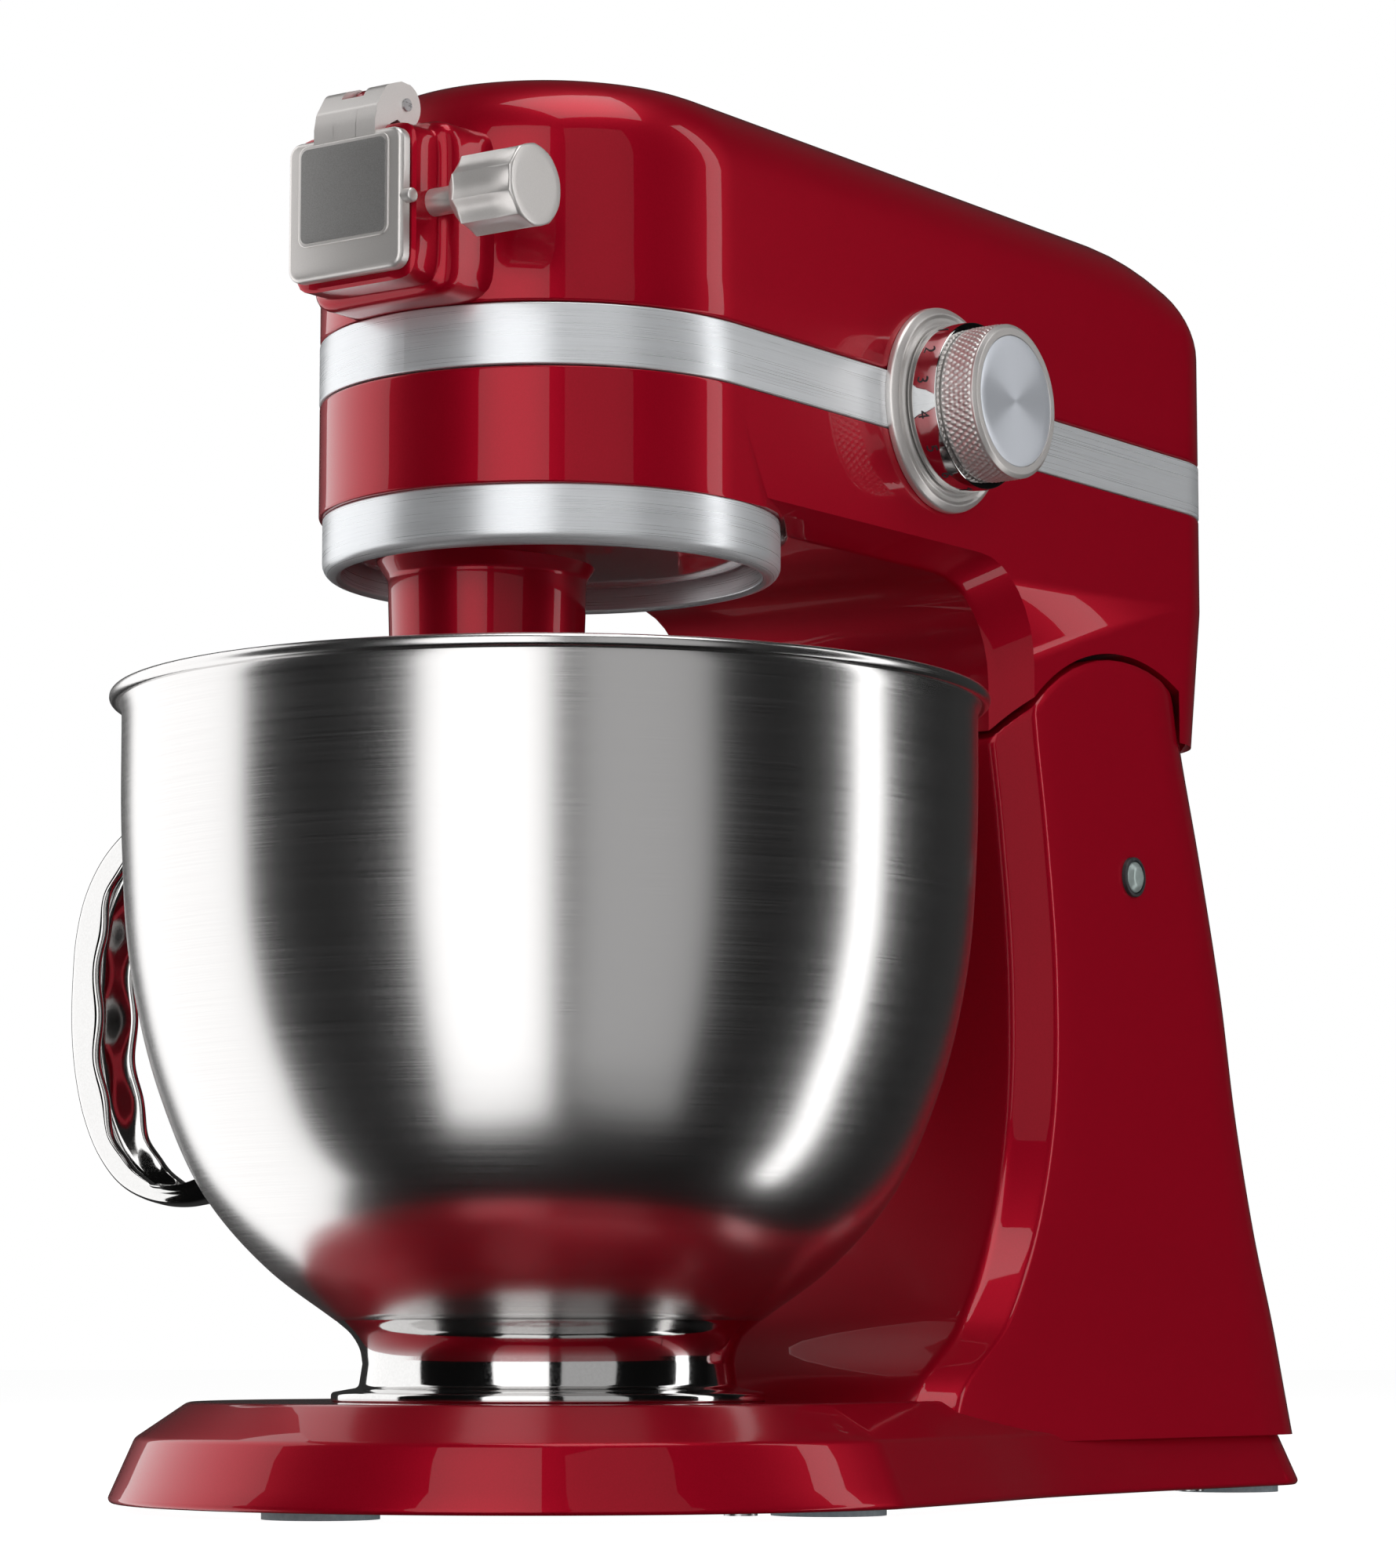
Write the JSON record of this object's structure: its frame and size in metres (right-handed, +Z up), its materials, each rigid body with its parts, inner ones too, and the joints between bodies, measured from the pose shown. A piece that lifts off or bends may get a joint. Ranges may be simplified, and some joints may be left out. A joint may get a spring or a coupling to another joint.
{
  "type": "stand mixer",
  "caption": "Tilt-head kitchen stand mixer with a lift-out metal bowl, planetary beater drive, side speed dial and a covered front power hub.",
  "frame": {"origin": "on the worktop plane, under the axis of the bowl and of the planetary drive", "axes": "+Z up; -Y out of the head's nose, so +Y is towards the column; +X is the side with the speed dial and the release button"},
  "size_m": [0.261, 0.3716, 0.356],
  "materials": {
    "painted_red": "high gloss deep red metallic lacquer",
    "brushed_band": "brushed along its length",
    "brushed_steel": "brushed round its axis",
    "polished_steel": "polished",
    "satin_nickel": "satin",
    "etched_panel": "fine matt etch",
    "grey_rubber": "matt",
    "grey_button": "matt",
    "steel": "ground",
    "cast_alloy": "as cast",
    "bronze": "machined",
    "black_plastic": "matt",
    "belt_rubber": "matt",
    "board_green": "solder resist"
  },
  "bodies": {
    "base": {"stand_casting": "painted_red", "base_underplate": "steel", "underplate_screws": "steel", "rubber_feet": "grey_rubber", "bowl_seat_plate": "steel", "seat_screws": "steel", "hinge_pin": "steel", "cable_gland": "black_plastic", "button_spring": "steel"},
    "release_button": {"release_button": "grey_button", "release_rod": "steel"},
    "head": {"head_upper_shell": "painted_red", "head_lower_shell": "painted_red", "trim_band": "brushed_band", "planetary_ring": "brushed_steel", "ring_gear": "steel", "gear_frame": "cast_alloy", "shaft_bearings": "steel", "hinge_bushes": "bronze", "motor_stator": "steel", "motor_end_caps": "cast_alloy", "drive_belt": "belt_rubber", "circuit_board": "board_green", "speed_sensor": "black_plastic", "frame_screws": "steel", "hub_housing": "painted_red", "hub_hinge_pin": "steel", "hub_bush": "bronze", "dial_escutcheon": "polished_steel"},
    "motor_rotor": {"rotor_shaft": "steel", "rotor_core": "steel", "cooling_fan": "black_plastic", "motor_pulley": "cast_alloy"},
    "planetary": {"planetary_disc": "painted_red", "spindle_bushes": "bronze", "grub_screw": "steel", "centre_shaft": "steel", "drive_pulley": "cast_alloy", "bevel_gear": "steel"},
    "beater_spindle": {"spindle_shaft": "steel", "planet_gear": "steel", "beater_pin": "steel"},
    "hub_drive": {"hub_socket": "satin_nickel", "bevel_pinion": "steel"},
    "hub_cover": {"hub_cover": "satin_nickel", "hub_cover_panel": "etched_panel"},
    "hub_screw": {"hub_screw": "satin_nickel"},
    "hub_knob": {"hub_knob": "satin_nickel"},
    "speed_dial": {"dial_scale": "polished_steel", "dial_knob": "polished_steel", "dial_face": "brushed_band", "dial_shaft": "steel"},
    "bowl": {"bowl": "brushed_steel", "bowl_foot": "polished_steel", "bowl_handle": "polished_steel"}
  },
  "joints": [
    {"name": "head_tilt", "type": "hinge", "parent": "base", "child": "head", "pos_m": [0, 0.188, 0.158], "axis": [-1, 0, 0], "range_deg": [0, 40]},
    {"name": "planetary_spin", "type": "hinge", "parent": "head", "child": "planetary", "pos_m": [0, 0, 0.24], "axis": [0, 0, 1], "continuous": true},
    {"name": "spindle_spin", "type": "hinge", "parent": "planetary", "child": "beater_spindle", "pos_m": [-0.01352, -0.00946, 0.2], "axis": [0, 0, 1], "continuous": true},
    {"name": "motor_spin", "type": "hinge", "parent": "head", "child": "motor_rotor", "pos_m": [0, 0.13, 0.3], "axis": [0, 0, 1], "continuous": true},
    {"name": "hub_spin", "type": "hinge", "parent": "head", "child": "hub_drive", "pos_m": [0, -0.06, 0.317], "axis": [0, -1, 0], "continuous": true},
    {"name": "hub_cover_hinge", "type": "hinge", "parent": "head", "child": "hub_cover", "pos_m": [0, -0.072, 0.343], "axis": [-1, 0, 0], "range_deg": [0, 105]},
    {"name": "hub_screw_feed", "type": "slide", "parent": "head", "child": "hub_screw", "axis": [1, 0, 0], "range_m": [0, 0.0025]},
    {"name": "hub_knob_turn", "type": "hinge", "parent": "hub_screw", "child": "hub_knob", "pos_m": [0.035, -0.0727, 0.317], "axis": [1, 0, 0], "range_deg": [0, 720]},
    {"name": "dial_turn", "type": "hinge", "parent": "head", "child": "speed_dial", "pos_m": [0.07, 0.094, 0.288], "axis": [1, 0, 0], "range_deg": [0, 270]},
    {"name": "release_press", "type": "slide", "parent": "base", "child": "release_button", "axis": [-1, 0, 0], "range_m": [0, 0.004], "stiffness_N_per_m": 200, "deforming": ["button_spring"]},
    {"name": "bowl_lift", "type": "slide", "parent": "base", "child": "bowl", "axis": [0, 0, 1], "range_m": [0, 0.024]}
  ],
  "couplings": [
    {"joint": "spindle_spin", "follows": "planetary_spin", "ratio": -3},
    {"joint": "motor_spin", "follows": "planetary_spin", "ratio": 6},
    {"joint": "hub_spin", "follows": "planetary_spin", "ratio": 1},
    {"joint": "hub_knob_turn", "follows": "hub_screw_feed", "rad_per_m": 5026.5}
  ]
}
